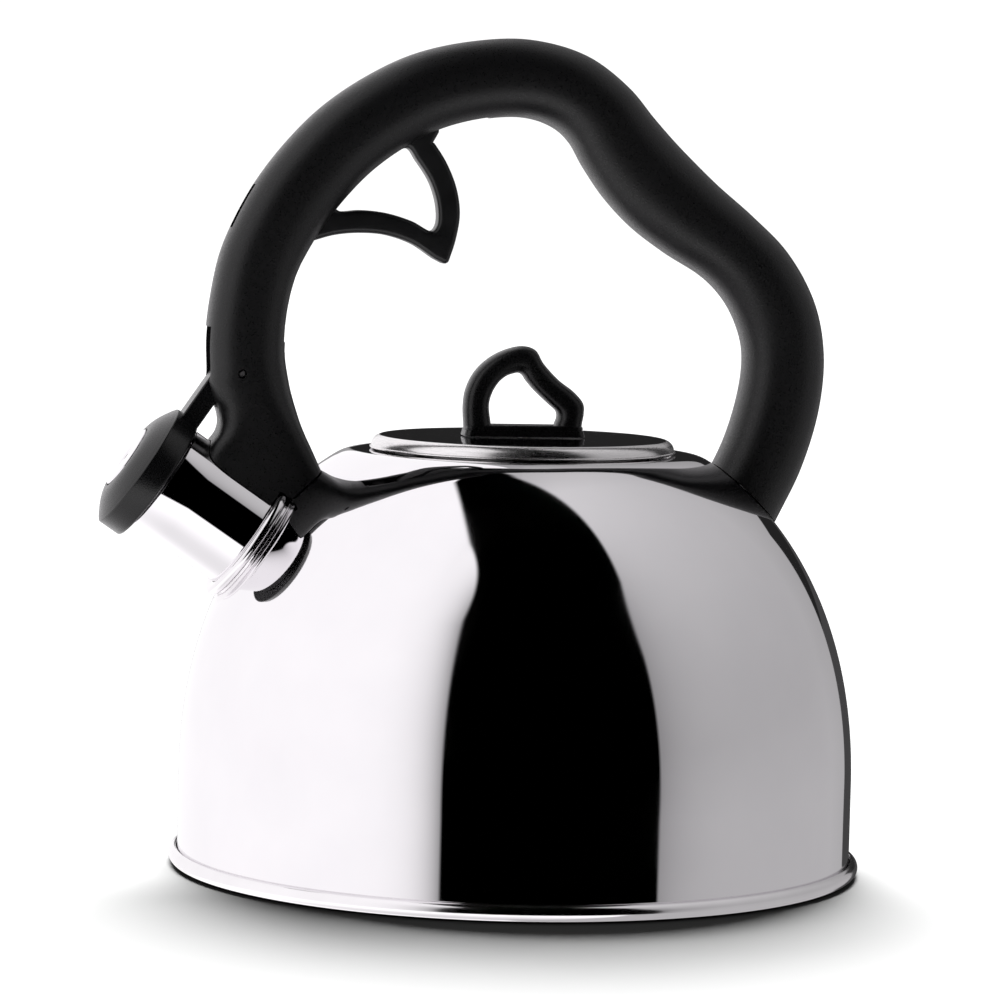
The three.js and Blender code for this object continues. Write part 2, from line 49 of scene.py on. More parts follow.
# ---- Body: one deep-drawn dome of 18/10 stainless sheet, rolled in at the ledge for the lid ----
# It is drawn in a press, trimmed, and buffed to a mirror from its straight lower wall to the flat
# ledge. The filling neck is turned down from the ledge.
def linear(hex_colour):
    """An sRGB hex colour as linear red, green, blue and alpha."""
    parts = [int(hex_colour[i:i + 2], 16) / 255 for i in (1, 3, 5)]
    return (*[c / 12.92 if c <= 0.04045 else ((c + 0.055) / 1.055) ** 2.4 for c in parts], 1.0)


def node(tree, kind, inputs=None, **settings):
    """A node with its settings; an input is a value, or the socket that feeds it."""
    made = tree.nodes.new(kind)
    for key, value in settings.items():
        setattr(made, key, value)
    for key, value in (inputs or {}).items():
        if isinstance(value, bpy.types.NodeSocket):
            tree.links.new(value, made.inputs[key])
        else:
            made.inputs[key].default_value = value
    return made


def new_material(name):
    """A material with its node tree, its shader, and the piece's own coordinates in metres."""
    material = bpy.data.materials.new(name)
    material.use_nodes = True
    tree = material.node_tree
    place = node(tree, "ShaderNodeTexCoord").outputs["Object"]
    return material, tree, tree.nodes["Principled BSDF"], place


def per_mm(size):
    """The scale of a pattern whose grain is this many millimetres."""
    return 1 / (size * MM)


# Mirror-buffed stainless: a hard clear reflection, with faint smears that dull it in patches
# and the last trace of the buffing wheel.
def buffed_stainless():
    material, tree, shader, place = new_material("mirror_buffed_stainless")
    smear = node(tree, "ShaderNodeTexNoise", {"Vector": place, "Scale": per_mm(28), "Detail": 3})
    dull = node(tree, "ShaderNodeMapRange", {
        "Value": smear.outputs["Fac"], "From Min": 0.35, "From Max": 0.75, "To Min": 0.018, "To Max": 0.06,
    })
    tint = node(tree, "ShaderNodeMix", {
        "Factor": smear.outputs["Fac"], "A": linear("#F0EEF0"), "B": linear("#E6E4E7"),
    }, data_type="RGBA")
    wave = node(tree, "ShaderNodeTexNoise", {"Vector": place, "Scale": per_mm(45), "Detail": 1})
    bump = node(tree, "ShaderNodeBump", {
        "Height": wave.outputs["Fac"], "Strength": 0.05, "Distance": 0.4 * MM,
    })
    tree.links.new(tint.outputs["Result"], shader.inputs["Base Color"])
    tree.links.new(dull.outputs["Result"], shader.inputs["Roughness"])
    tree.links.new(bump.outputs["Normal"], shader.inputs["Normal"])
    shader.inputs["Metallic"].default_value = 1
    return material


mirror_steel = buffed_stainless()

STEPS = 288


def arc(r, z, radius, first, last, steps):
    """Points of a circular arc in a turned profile, between two angles in degrees."""
    angles = [math.radians(first + (last - first) * k / steps) for k in range(steps + 1)]
    return [(r + radius * math.cos(a), z + radius * math.sin(a)) for a in angles]


def bezier(a, b, c, d, steps):
    """Points of a cubic curve, without its last one."""
    points = []
    for k in range(steps):
        t = k / steps
        s = 1 - t
        weights = (s ** 3, 3 * s * s * t, 3 * s * t * t, t ** 3)
        points.append(tuple(sum(w * p[i] for w, p in zip(weights, (a, b, c, d))) for i in (0, 1)))
    return points


def finished(name, mesh, material, sharp=40):
    """An object from a mesh, with smooth faces and crisp edges where they turn sharply."""
    mesh.shade_smooth()
    mesh.set_sharp_from_angle(angle=math.radians(sharp))
    piece = bpy.data.objects.new(name, mesh)
    bpy.context.scene.collection.objects.link(piece)
    piece.data.materials.clear()
    if material:
        piece.data.materials.append(material)
    return piece


def mesh_from(name, points, faces):
    """A mesh with welded points and outward faces, from points in metres."""
    mesh = bpy.data.meshes.new(name)
    mesh.from_pydata([tuple(p) for p in points], [], faces)
    shape = bmesh.new()
    shape.from_mesh(mesh)
    bmesh.ops.remove_doubles(shape, verts=shape.verts, dist=1e-7)
    bmesh.ops.recalc_face_normals(shape, faces=shape.faces)
    shape.to_mesh(mesh)
    shape.free()
    return mesh


def turned(name, profile, material, place=Matrix.Identity(4), steps=STEPS, sharp=40):
    """A piece turned about its axis from [radius, height] points in mm, in the frame of place."""
    points = []
    rings = []
    for r, z in profile:
        count = steps if r > 1e-6 else 1
        rings.append([len(points) + k for k in range(count)])
        for k in range(count):
            a = math.tau * k / steps
            points.append(place @ (Vector((r * math.cos(a), r * math.sin(a), z)) * MM))
    on_axis = len(rings[0]) == 1
    faces = []
    for low, high in zip(rings, rings[1:] if on_axis else rings[1:] + rings[:1]):
        for k in range(steps):
            j = (k + 1) % steps
            corners = [low[k % len(low)], low[j % len(low)], high[j % len(high)], high[k % len(high)]]
            corners = list(dict.fromkeys(corners))
            if len(corners) > 2:
                faces.append(corners)
    return finished(name, mesh_from(name, points, faces), material, sharp)


def shaped(piece, how, others, sharp=40):
    """Cuts or joins other solids into a piece, and removes them."""
    for other in others:
        step = piece.modifiers.new("step", "BOOLEAN")
        step.operation = how
        step.object = other
        step.solver = "EXACT"
    bpy.context.view_layer.update()
    whole = piece.evaluated_get(bpy.context.evaluated_depsgraph_get())
    mesh = bpy.data.meshes.new_from_object(whole)
    piece.modifiers.clear()
    piece.data = mesh
    mesh.shade_smooth()
    mesh.set_sharp_from_angle(angle=math.radians(sharp))
    for other in others:
        bpy.data.objects.remove(other)
    return piece


WALL = 0.8
GAP = 0.3
BODY_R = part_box("body_shell")[1].x / MM
LEDGE_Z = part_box("body_shell")[1].z / MM
LEDGE_R = 49
SHOULDER_Z = 28.3
BROW = (58.9, 123.3)
NECK_R = 39.5
NECK_DEPTH = 7
NECK_LIP = 1.8
FOOT_Z = 2.2


def dome_line(offset, side_steps=90, brow_steps=24):
    """The dome's outline from its wall to the ledge, moved out by an offset along its normals."""
    line = bezier((BODY_R, SHOULDER_Z), (BODY_R, 78), (80.5, 108.9), BROW, side_steps)
    line += bezier(BROW, (55.5, 125.6), (53.8, LEDGE_Z), (LEDGE_R, LEDGE_Z), brow_steps)
    line.append((LEDGE_R, LEDGE_Z))
    moved = []
    for k, (r, z) in enumerate(line):
        before = line[max(k - 1, 0)]
        after = line[min(k + 1, len(line) - 1)]
        run = Vector((after[0] - before[0], after[1] - before[1])).normalized()
        moved.append((r + offset * run.y, z - offset * run.x))
    return moved


dome = turned("dome", [
    (BODY_R, FOOT_Z), (BODY_R, 10), (BODY_R, 19), *dome_line(0),
    *arc(NECK_R + NECK_LIP, LEDGE_Z - NECK_LIP, NECK_LIP, 90, 180, 8),
    (NECK_R, LEDGE_Z - NECK_DEPTH), (NECK_R + WALL, LEDGE_Z - NECK_DEPTH),
    *arc(NECK_R + NECK_LIP, LEDGE_Z - NECK_LIP, NECK_LIP - WALL, 180, 90, 6),
    *reversed(dome_line(-WALL)), (BODY_R - WALL, FOOT_Z),
], mirror_steel, sharp=50)

# The spout's own frame: Z runs out along the tube, X points up square to it.
TILT = math.radians(34.5)
ROOT = Vector((-84.5, 0, 100.8)) * MM
out = Vector((-math.cos(TILT), 0, math.sin(TILT)))
above = Vector((math.sin(TILT), 0, math.cos(TILT)))
spout_frame = Matrix((above, (0, 1, 0), out)).transposed().to_4x4()
spout_frame.translation = ROOT


def rod(name, radius, low, high, place, steps=96):
    """A plain round solid for cutting and joining, in the frame of place."""
    return turned(name, [(0, low), (radius, low), (radius, high), (0, high)], None, place, steps)


SPOUT_R = 16.9
shaped(dome, "DIFFERENCE", [rod("cutter", SPOUT_R + GAP, -20, 10, spout_frame)], sharp=50)
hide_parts("body_shell")
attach(dome, "kettle")


# ---- Collar: the short wall drawn up out of the dome round the spout's root ----
# It is raised from the same sheet, so it flows into the dome with a round, and the ring seats on
# its trimmed edge.
# Seams and joints are polished by hand, which leaves them a little softer than the dome.
def hand_polished():
    material, tree, shader, place = new_material("hand_polished_stainless")
    smear = node(tree, "ShaderNodeTexNoise", {"Vector": place, "Scale": per_mm(12), "Detail": 3})
    dull = node(tree, "ShaderNodeMapRange", {"Value": smear.outputs["Fac"], "To Min": 0.07, "To Max": 0.15})
    tint = node(tree, "ShaderNodeMix", {
        "Factor": smear.outputs["Fac"], "A": linear("#EFEDEF"), "B": linear("#E2E0E2"),
    }, data_type="RGBA")
    tree.links.new(tint.outputs["Result"], shader.inputs["Base Color"])
    tree.links.new(dull.outputs["Result"], shader.inputs["Roughness"])
    shader.inputs["Metallic"].default_value = 1
    return material


soft_steel = hand_polished()

COLLAR_R = 19
COLLAR_ROUND = 3.4
LIP_AT = -3.6
SHORTEST_WALL = 0.5
SINK = 0.04
BURIED = 0.5
outline_r, outline_z = zip(*dome_line(0)[::-1])
outline_r = np.array(outline_r)
outline_z = np.array(outline_z)


def depth_to_dome(radius, turn):
    """Where a line beside the spout's axis meets the dome: its length along the spout."""
    low = -30.0
    high = 12.0
    for _ in range(40):
        middle = (low + high) / 2
        local = Vector((radius * math.cos(turn), radius * math.sin(turn), middle)) * MM
        x, y, z = (spout_frame @ local) / MM
        wall = BODY_R if z < SHOULDER_Z else float(np.interp(z, outline_z[::-1], outline_r[::-1]))
        inside = math.hypot(x, y) < wall and z < LEDGE_Z
        low, high = (middle, high) if inside else (low, middle)
    return low


def drawn_collar():
    points = []
    rounds = 10
    for k in range(STEPS):
        turn = math.tau * k / STEPS
        ring = [(SPOUT_R + GAP, LIP_AT), (COLLAR_R, LIP_AT)]
        for j in range(rounds + 1):
            a = math.pi / 2 * j / rounds
            r = COLLAR_R + COLLAR_ROUND * (1 - math.cos(a))
            t = depth_to_dome(r, turn) + COLLAR_ROUND * (1 - math.sin(a)) - SINK
            ring.append((r, min(t, LIP_AT - SHORTEST_WALL)))
        last_r, last_t = ring[-1]
        ring.append((last_r, last_t - BURIED))
        ring.append((SPOUT_R + GAP, depth_to_dome(SPOUT_R + GAP, turn) - BURIED))
        for r, t in ring:
            points.append(spout_frame @ (Vector((r * math.cos(turn), r * math.sin(turn), t)) * MM))
    per = len(points) // STEPS
    faces = []
    for k in range(STEPS):
        j = (k + 1) % STEPS
        for i in range(per):
            n = (i + 1) % per
            faces.append((k * per + i, k * per + n, j * per + n, j * per + i))
    return finished("spout_collar", mesh_from("spout_collar", points, faces), soft_steel, 50)


collar = drawn_collar()
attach(collar, "kettle")


# ---- Base pan: a pressed disc whose edge is rolled over the body's foot ----
# The same stainless sheet, polished on the rolled seam and left satin underneath, where a
# spinning brush has drawn rings. The seam grips the dome in a narrow dark groove.
def brushed_base():
    material, tree, shader, place = new_material("satin_brushed_stainless")
    ring = node(tree, "ShaderNodeTexWave", {
        "Vector": place, "Scale": per_mm(9), "Distortion": 1.5, "Detail": 3, "Detail Scale": 2,
    }, wave_type="RINGS", rings_direction="Z")
    rough = node(tree, "ShaderNodeMapRange", {"Value": ring.outputs["Fac"], "To Min": 0.22, "To Max": 0.34})
    tint = node(tree, "ShaderNodeMix", {
        "Factor": ring.outputs["Fac"], "A": linear("#D8D6D6"), "B": linear("#C6C4C5"),
    }, data_type="RGBA")
    bump = node(tree, "ShaderNodeBump", {
        "Height": ring.outputs["Fac"], "Strength": 0.15, "Distance": 0.05 * MM,
    })
    tree.links.new(tint.outputs["Result"], shader.inputs["Base Color"])
    tree.links.new(rough.outputs["Result"], shader.inputs["Roughness"])
    tree.links.new(bump.outputs["Normal"], shader.inputs["Normal"])
    shader.inputs["Metallic"].default_value = 1
    return material


satin_steel = brushed_base()
BASE_FACE_R = 88
SATIN_R = 98
BEAD_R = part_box("base_pan")[1].x / MM
BEAD_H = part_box("base_pan")[1].z / MM - 0.6
BEAD_HALF = 2.4
SEAM_R = BODY_R + 0.15
bead = arc(BEAD_R - BEAD_HALF, BEAD_HALF + 0.6, BEAD_HALF, -90, 78, 28)
base_pan = turned("rolled_base", [
    (0, 0), (BASE_FACE_R, 0), (BASE_FACE_R + 0.8, 0.2), (BASE_FACE_R + 2, 0.6), (100.5, 0.6), *bead,
    (SEAM_R + 0.25, BEAD_H - 0.25), (SEAM_R, BEAD_H - 0.8), (SEAM_R, 1.8),
    (BODY_R - WALL - GAP, 1.8), (BODY_R - WALL - GAP, 6), (BODY_R - 2 * WALL - GAP, 6),
    (BODY_R - 2 * WALL - GAP, 1.5), (BASE_FACE_R + 1.5, 1.5), (BASE_FACE_R - 0.5, WALL),
    (0, WALL),
], soft_steel, sharp=50)
base_pan.data.materials.append(satin_steel)
for face in base_pan.data.polygons:
    face.material_index = 1 if math.hypot(face.center.x, face.center.y) < SATIN_R * MM else 0
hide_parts("base_pan")
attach(base_pan, "kettle")


# ---- Spout: a length of buffed stainless tube, brazed into the collar, with its lip rounded ----
# The tube is as smooth as the dome and shows the studio in long stripes. A turned half-round
# ring covers the joint, and takes the softer polish of the collar.
SPOUT_LENGTH = 29.5
spout_tube = turned("spout_pipe", [
    (SPOUT_R - WALL, -6), (SPOUT_R, -6), (SPOUT_R, 4), (SPOUT_R, 12), (SPOUT_R, 20),
    (SPOUT_R, SPOUT_LENGTH - 0.4), *arc(SPOUT_R - 0.4, SPOUT_LENGTH - 0.4, 0.4, 20, 160, 6),
    (SPOUT_R - WALL, SPOUT_LENGTH - 0.5), (SPOUT_R - WALL, 15), (SPOUT_R - WALL, 4),
], mirror_steel, spout_frame, 192)
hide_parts("spout_tube")
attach(spout_tube, "kettle")

RING_R = 20.6
RING_AT = -2.0
spout_ring = turned("root_ring", [
    (SPOUT_R + 0.1, LIP_AT), *arc(RING_R - 1.6, RING_AT, 1.6, -90, 80, 24),
    (18.2, RING_AT + 1.5), (17.3, RING_AT + 1.35), (SPOUT_R + 0.1, RING_AT + 1.1),
], soft_steel, spout_frame, 240)
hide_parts("spout_ring")
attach(spout_ring, "kettle")


# ---- Handle: one phenolic moulding that arches from the rear of the dome over to the spout ----
# Compression-moulded in a spark-eroded tool, which gives its fine grain. Its section is a soft
# oval along the arch; the front leg squares up to a foot that straddles the spout.
def grained_phenolic(name, grain, depth, low, high, dark, light):
    """Moulded thermoset with a spark-eroded grain: fine bright specks on soft black."""
    material, tree, shader, place = new_material(name)
    speck = node(tree, "ShaderNodeTexNoise", {
        "Vector": place, "Scale": per_mm(grain), "Detail": 3, "Roughness": 0.7,
    })
    cloud = node(tree, "ShaderNodeTexNoise", {"Vector": place, "Scale": per_mm(22), "Detail": 3})
    both = node(tree, "ShaderNodeMath", {0: speck.outputs["Fac"], 1: cloud.outputs["Fac"]},
                operation="MULTIPLY")
    tint = node(tree, "ShaderNodeMix", {
        "Factor": both.outputs["Value"], "A": linear(dark), "B": linear(light),
    }, data_type="RGBA")
    rough = node(tree, "ShaderNodeMapRange", {
        "Value": speck.outputs["Fac"], "From Min": 0.36, "From Max": 0.64, "To Min": high, "To Max": low,
    })
    bump = node(tree, "ShaderNodeBump", {
        "Height": speck.outputs["Fac"], "Strength": 0.8, "Distance": depth * MM,
    })
    tree.links.new(tint.outputs["Result"], shader.inputs["Base Color"])
    tree.links.new(rough.outputs["Result"], shader.inputs["Roughness"])
    tree.links.new(bump.outputs["Normal"], shader.inputs["Normal"])
    shader.inputs["IOR"].default_value = 1.44
    return material


# The real grain is about 0.1 mm; it is drawn at 0.55 mm so that it shows.
black_phenolic = grained_phenolic("spark_grained_phenolic", 0.55, 0.11, 0.26, 0.46, "#070708", "#151517")

HANDLE_HALF = 12.5
ARCH = [
    (58, 94, 25), (68.8, 114.7, 24.8), (74.5, 127.1, 24.9), (78.9, 143, 24.9), (79.9, 157, 24.6),
    (77.3, 169, 24.6), (70.5, 180.9, 24.1), (61.2, 189.9, 23.9), (49.9, 197.9, 26), (40.6, 205.4, 27.4),
    (33.3, 212.7, 27.2), (27.2, 220.2, 26), (21, 228.4, 24.4), (11.4, 235.5, 23.8),
    (-2, 238.9, 23.5), (-17.1, 237.9, 23.6), (-31.8, 234.1, 24), (-44.2, 227.8, 24.2),
    (-55.3, 219.8, 24.4), (-63.9, 211.1, 24.4), (-71.7, 201, 24.3), (-77.2, 191.5, 24.1),
    (-81.5, 181.5, 23.9), (-84, 170, 23.6), (-85, 159, 23.8), (-84.7, 150, 24.1), (-83.1, 142, 23.9),
]
# The front foot: a point of its outer edge, the one opposite on its inner edge, and how square
# the section is there (2 is an ellipse).
FRONT_FOOT = [
    (-96.85, 146.6, -71.7, 146, 2.6), (-95.3, 141.8, -70.5, 141.3, 2.8), (-93.3, 137.8, -69.4, 137.6, 3.2),
    (-92.6, 134.2, -68.3, 134.2, 3.8), (-93.2, 131.3, -66.9, 130.8, 4.4), (-95.3, 128.2, -65, 126.8, 5),
    (-97.5, 124.5, -62.6, 121.5, 6), (-99, 119, -59.5, 115, 6.5), (-100, 112, -56, 108, 6.5),
]


def through(points, per_span, closed=False):
    """A smooth curve through points of any number of values, spaced by their first two."""
    count = len(points)
    rows = [np.array(p, float) for p in points]
    made = []
    for i in range(count if closed else count - 1):
        p1 = rows[i]
        p2 = rows[(i + 1) % count]
        p0 = rows[i - 1] if i or closed else 2 * p1 - p2
        p3 = rows[(i + 2) % count] if i < count - 2 or closed else 2 * p2 - p1
        d0, d1, d2 = [max(np.hypot(*(b - a)[:2]) ** 0.5, 1e-4) for a, b in ((p0, p1), (p1, p2), (p2, p3))]
        m1 = ((p1 - p0) / d0 - (p2 - p0) / (d0 + d1) + (p2 - p1) / d1) * d1
        m2 = ((p2 - p1) / d1 - (p3 - p1) / (d1 + d2) + (p3 - p2) / d2) * d1
        for k in range(per_span):
            t = k / per_span
            made.append(p1 + m1 * t + (3 * (p2 - p1) - 2 * m1 - m2) * t ** 2
                        + (2 * (p1 - p2) + m1 + m2) * t ** 3)
    if not closed:
        made.append(rows[-1])
    return made


SPAN = 10
arch_line = through(ARCH, SPAN)


def beside_arch(k, distance):
    """A point at a distance from the arch's middle line: positive is the outer side."""
    i = round(k * SPAN)
    run = arch_line[min(i + 1, len(arch_line) - 1)] - arch_line[max(i - 1, 0)]
    run /= np.hypot(run[0], run[1])
    x, z, _ = arch_line[i]
    return (x + run[1] * distance, z - run[0] * distance)


def thick_at(k):
    return arch_line[round(k * SPAN)][2]


def lofted(name, pairs, half, material, around=96):
    """A bar whose sections are rounded ovals between pairs of edge points in the XZ plane.
    A pair is outer X and Z, inner X and Z, and the squareness of the section."""
    points = []
    for ox, oz, ix, iz, square in pairs:
        for k in range(around):
            a = math.tau * k / around
            across = math.copysign(abs(math.sin(a)) ** (2 / square), math.sin(a))
            wide = math.copysign(abs(math.cos(a)) ** (2 / square), math.cos(a))
            x = (ox + ix) / 2 + (ox - ix) / 2 * across
            z = (oz + iz) / 2 + (oz - iz) / 2 * across
            points.append((x * MM, half * wide * MM, z * MM))
    faces = [list(range(around)), list(range(len(points) - around, len(points)))]
    for r in range(len(pairs) - 1):
        for k in range(around):
            j = (k + 1) % around
            faces.append((r * around + k, r * around + j, (r + 1) * around + j, (r + 1) * around + k))
    return finished(name, mesh_from(name, points, faces), material)


def slab(name, outline, y0, y1):
    """A plain prism for cutting, from an outline of X and Z, between two values of Y."""
    points = [(x * MM, y * MM, z * MM) for y in (y0, y1) for x, z in outline]
    n = len(outline)
    faces = [list(range(n)), list(range(n, 2 * n))]
    faces += [(k, (k + 1) % n, n + (k + 1) % n, n + k) for k in range(n)]
    return finished(name, mesh_from(name, points, faces), None)


def cross_rod(name, centre, radius, y0, y1):
    """A plain round solid along Y for cutting and joining."""
    place = Matrix.Translation((centre[0] * MM, 0, centre[1] * MM)) @ Matrix.Rotation(-math.pi / 2, 4, "X")
    return rod(name, radius, y0, y1, place, 48)


CAP_PIVOT = (-86.9, 149.3)
TRIGGER_PIVOT = (-77.5, 192)
PIN_R = 1.2
PIN_FIT = 0.15
PIN_CUT = 14
BLIND_END = 9.5
UPPER_SLOT_HALF = 3
CHANNEL_WALL = 4
CHANNEL_HALF = 4.5
POCKET_HALF = 6

edges = []
for k in range(len(ARCH) - 1):
    half = thick_at(k) / 2
    edges.append((*beside_arch(k, half), *beside_arch(k, -half), 2.5))
handle = lofted("handle_moulding", through(edges + FRONT_FOOT, 8), HANDLE_HALF, black_phenolic)

slot_steps = [14.8 + 0.4 * k for k in range(25)]
channel = [beside_arch(k, thick_at(k) / 2 - CHANNEL_WALL) for k in slot_steps]
channel += [beside_arch(k, -thick_at(k) / 2 - 2) for k in reversed(slot_steps)]
arm_pocket = [
    (-104, 133), (-93.6, 138.9), (-89.6, 141.6), (-85.6, 141), (-79.5, 142.5), (-77.6, 148),
    (-76.4, 156), (-76.4, 170), (-91, 170), (-93, 163), (-104, 163),
]
upper_slot = [beside_arch(20.2, 5), beside_arch(20.2, 16), beside_arch(21.4, 16), beside_arch(21.4, 5)]

# Above a small step, the inner face of the front leg is let in for the trigger.
let_in = [(19 + 0.5 * k, 0.9 * min(k / 5, 1)) for k in range(11)]
step_face = [beside_arch(k, depth - thick_at(k) / 2) for k, depth in let_in]
step_face += [beside_arch(k, -thick_at(k) / 2 - 3) for k, _ in reversed(let_in)]
filled_dome = [(0, 0), (BODY_R + GAP, 0), *dome_line(GAP, 60, 16), (0, LEDGE_Z + GAP)]
shaped(handle, "DIFFERENCE", [
    turned("cutter", filled_dome, None, steps=192),
    rod("cutter", SPOUT_R + GAP, -14, 45, spout_frame),
    rod("cutter", RING_R + GAP, -14, RING_AT + 1.9, spout_frame),
    slab("cutter", channel, -CHANNEL_HALF, CHANNEL_HALF),
    slab("cutter", arm_pocket, -POCKET_HALF, POCKET_HALF),
    slab("cutter", upper_slot, -UPPER_SLOT_HALF, UPPER_SLOT_HALF),
    slab("cutter", step_face, -HANDLE_HALF - 1, HANDLE_HALF + 1),
    cross_rod("cutter", CAP_PIVOT, PIN_R + PIN_FIT, -PIN_CUT, PIN_CUT),
    cross_rod("cutter", TRIGGER_PIVOT, PIN_R + PIN_FIT, -BLIND_END, PIN_CUT),
], sharp=32)


def drop_crumbs(piece):
    """Keeps only the biggest connected part of a piece that cuts have left in several."""
    shape = bmesh.new()
    shape.from_mesh(piece.data)
    left = set(shape.verts)
    groups = []
    while left:
        group = {left.pop()}
        front = list(group)
        while front:
            for edge in front.pop().link_edges:
                for vert in edge.verts:
                    if vert in left:
                        left.discard(vert)
                        group.add(vert)
                        front.append(vert)
        groups.append(group)
    biggest = max(groups, key=len)
    bmesh.ops.delete(shape, geom=[v for v in shape.verts if v not in biggest], context="VERTS")
    shape.to_mesh(piece.data)
    shape.free()


drop_crumbs(handle)
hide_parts("handle_body")
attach(handle, "kettle")


# ---- Pins, spring, screws and washers: bought-in stainless hardware, hidden or nearly so ----
# Mill finish: a dull even grey with fine drawing marks. The two pins are pressed through the
# handle from its side, and four screws hold its feet from inside the dome.
def mill_stainless():
    material, tree, shader, place = new_material("mill_finish_stainless")
    drawn = node(tree, "ShaderNodeTexNoise", {
        "Vector": place, "Scale": per_mm(1.2), "Detail": 4, "Roughness": 0.7,
    })
    rough = node(tree, "ShaderNodeMapRange", {"Value": drawn.outputs["Fac"], "To Min": 0.26, "To Max": 0.42})
    tint = node(tree, "ShaderNodeMix", {
        "Factor": drawn.outputs["Fac"], "A": linear("#C4C2C2"), "B": linear("#B0AEAF"),
    }, data_type="RGBA")
    bump = node(tree, "ShaderNodeBump", {
        "Height": drawn.outputs["Fac"], "Strength": 0.2, "Distance": 0.03 * MM,
    })
    tree.links.new(tint.outputs["Result"], shader.inputs["Base Color"])
    tree.links.new(rough.outputs["Result"], shader.inputs["Roughness"])
    tree.links.new(bump.outputs["Normal"], shader.inputs["Normal"])
    shader.inputs["Metallic"].default_value = 1
    return material


mill_steel = mill_stainless()


def coated(name, material):
    """Gives a CAD node that stays in view its material."""
    nodes[name].data.materials.clear()
    nodes[name].data.materials.append(material)


HARDWARE = ["trigger_pin", "cap_pin", "return_spring", "knob_screw", "knob_washer"]
HARDWARE += [f"{foot}_{part}_{hand}" for foot in ("front", "rear")
             for part in ("screw", "washer") for hand in ("left", "right")]
for name in HARDWARE:
    coated(name, mill_steel)


# ---- Trigger: a looped finger lever of black nylon, hung on its pin in the handle's slot ----
# Injection-moulded with satin faces and well rounded edges. Its hidden arm reaches down the
# front leg, and the peg at its end drives the fork of the spout cap.
def moulded_nylon():
    material, tree, shader, place = new_material("satin_moulded_nylon")
    haze = node(tree, "ShaderNodeTexNoise", {"Vector": place, "Scale": per_mm(6), "Detail": 4})
    grain = node(tree, "ShaderNodeTexNoise", {"Vector": place, "Scale": per_mm(0.5), "Detail": 2})
    tint = node(tree, "ShaderNodeMix", {
        "Factor": haze.outputs["Fac"], "A": linear("#0A0A0B"), "B": linear("#141416"),
    }, data_type="RGBA")
    rough = node(tree, "ShaderNodeMapRange", {"Value": haze.outputs["Fac"], "To Min": 0.28, "To Max": 0.42})
    bump = node(tree, "ShaderNodeBump", {
        "Height": grain.outputs["Fac"], "Strength": 0.2, "Distance": 0.05 * MM,
    })
    tree.links.new(tint.outputs["Result"], shader.inputs["Base Color"])
    tree.links.new(rough.outputs["Result"], shader.inputs["Roughness"])
    tree.links.new(bump.outputs["Normal"], shader.inputs["Normal"])
    return material


black_nylon = moulded_nylon()


def grown(outline, by):
    """A closed outline moved outwards by a distance."""
    count = len(outline)
    pts = [Vector(p[:2]) for p in outline]
    area = sum(pts[k - 1].cross(pts[k]) for k in range(count))
    sign = 1 if area > 0 else -1
    made = []
    for k in range(count):
        a = (pts[k] - pts[k - 1]).normalized()
        b = (pts[(k + 1) % count] - pts[k]).normalized()
        turn = sign * math.atan2(a.cross(b), a.dot(b))
        fan = 6 if turn > 0.4 else 0
        for j in range(fan + 1):
            swing = sign * turn * (j / fan if fan else 0.5)
            run = Matrix.Rotation(swing, 2) @ a
            made.append((pts[k].x + sign * run.y * by, pts[k].y - sign * run.x * by))
    return made


def round_edged(name, outlines, half, edge, material):
    """A flat piece with rounded edges, from an outline of X and Z and the holes in it."""
    curve = bpy.data.curves.new(name, "CURVE")
    curve.dimensions = "2D"
    curve.fill_mode = "BOTH"
    curve.extrude = (half - edge) * MM
    curve.bevel_depth = edge * MM
    curve.bevel_resolution = 5
    curve.offset = -edge * MM
    for outline in outlines:
        spline = curve.splines.new("POLY")
        spline.points.add(len(outline) - 1)
        for point, (x, z) in zip(spline.points, outline):
            point.co = (x * MM, z * MM, 0, 1)
        spline.use_cyclic_u = True
    holder = bpy.data.objects.new(name, curve)
    bpy.context.scene.collection.objects.link(holder)
    bpy.context.view_layer.update()
    mesh = bpy.data.meshes.new_from_object(holder.evaluated_get(bpy.context.evaluated_depsgraph_get()))
    bpy.data.objects.remove(holder)
    mesh.transform(Matrix.Rotation(math.pi / 2, 4, "X"))
    shape = bmesh.new()
    shape.from_mesh(mesh)
    bmesh.ops.remove_doubles(shape, verts=shape.verts, dist=1e-6)
    bmesh.ops.recalc_face_normals(shape, faces=shape.faces)
    shape.to_mesh(mesh)
    shape.free()
    return finished(name, mesh, material)


TRIGGER_HALF = 4
TRIGGER_EDGE = 1.5
TRIGGER_TRAVEL = math.radians(16)
PEG_REACH = 32.3
PEG_R = 1.7
LEVER_HALF = 3
HUB_R = 5
fin = through([
    (-31.3, 219), (-27.1, 212.8), (-23.9, 205.4), (-22.7, 197.9), (-23.8, 190.3), (-25.6, 184.4),
], 6)
underside = through([
    (-28, 185.6), (-35, 190), (-43.5, 192.6), (-51.8, 193.1), (-59.4, 192.3), (-66, 190.4),
], 6)
base = [
    (-72, 188.5), (-74, 196), (-68, 203), (-61.5, 206.5), (-55.5, 211.8), (-46, 218.4), (-34, 222.3),
    (-29.6, 222.6),
]
eye = through([
    (-37.6, 217.2), (-34.6, 213.6), (-30.2, 206.9), (-28, 199.6), (-28.1, 194.4), (-29.6, 192.6),
    (-35.8, 195.5), (-43.9, 197.8), (-51.3, 198.4), (-57.6, 198.0), (-58.8, 199),
    (-52.1, 206.5), (-45.4, 212.7),
], 6, closed=True)
outline = [tuple(p[:2]) for p in fin + underside] + base
trigger = round_edged("finger_trigger", [grown(outline, TRIGGER_EDGE), [tuple(p[:2]) for p in eye]],
                      TRIGGER_HALF, TRIGGER_EDGE, black_nylon)

